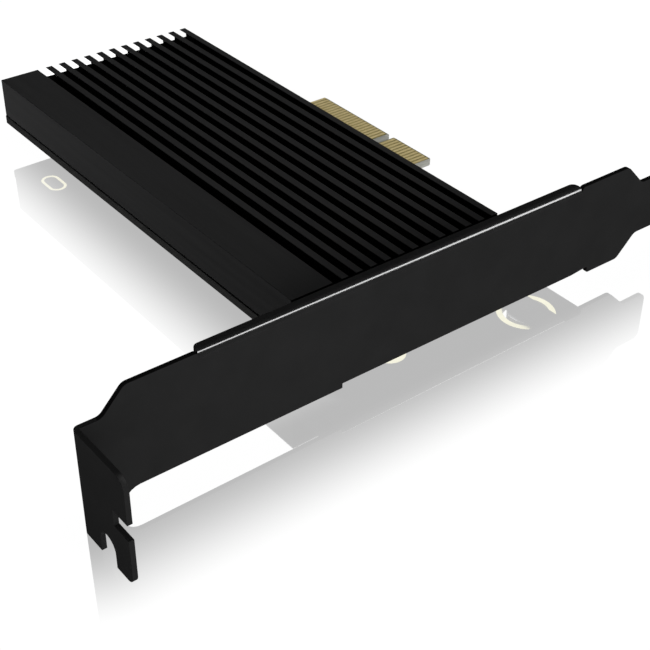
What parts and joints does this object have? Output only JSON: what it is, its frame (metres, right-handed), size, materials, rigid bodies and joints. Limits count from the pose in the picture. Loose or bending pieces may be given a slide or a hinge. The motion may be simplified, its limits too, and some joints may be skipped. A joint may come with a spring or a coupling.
{
  "type": "nvme adapter card",
  "caption": "PCIe x4 expansion card with a full-height slot bracket and a finned heatsink over its M.2 drive bay.",
  "frame": {"origin": "centre of the key notch on the edge connector's outer edge, halfway through the board", "axes": "+X out of the edge connector, the way the card goes into its slot; +Y from the bracket to the board's rear edge; +Z out of the component side, where the heatsink stands"},
  "size_m": [0.12, 0.1251, 0.0231],
  "materials": {
    "board": "black solder mask, satin",
    "contact_gold": "hard gold plating",
    "bracket_black": "black powder coat, satin",
    "screw_black": "black zinc plating",
    "steel": "plain steel",
    "pad_gold": "immersion gold",
    "sink_black": "black anodised, satin",
    "thermal_pad": "soft filled silicone",
    "standoff_brass": "plated brass",
    "socket_plastic": "black heat-resistant plastic",
    "tin": "tin plating",
    "tantalum": "moulded epoxy",
    "ceramic": "fired ceramic",
    "resistor": "glazed black",
    "led_lens": "clear moulded lens"
  },
  "bodies": {
    "root": {"circuit_board": "board", "edge_contacts_component_side": "contact_gold", "edge_contacts_solder_side": "contact_gold", "bracket": "bracket_black", "bracket_screws": "screw_black", "bracket_spacer": "steel", "bracket_hole_plating": "pad_gold", "heatsink": "sink_black", "heatsink_screws": "steel", "heatsink_washers": "steel", "heatsink_slot_plating": "pad_gold", "thermal_pad": "thermal_pad", "standoff_hole_plating": "pad_gold", "drive_standoff": "standoff_brass", "drive_screw": "steel", "socket_housing": "socket_plastic", "socket_upper_terminals": "contact_gold", "socket_lower_terminals": "contact_gold", "socket_hold_downs": "tin", "bulk_capacitors": "tantalum", "bulk_capacitor_ends": "tin", "ceramic_capacitors": "ceramic", "ceramic_capacitor_ends": "tin", "coupling_capacitors": "ceramic", "coupling_capacitor_ends": "tin", "resistors": "resistor", "resistor_ends": "tin", "status_led": "led_lens", "status_led_ends": "tin"}
  },
  "joints": []
}
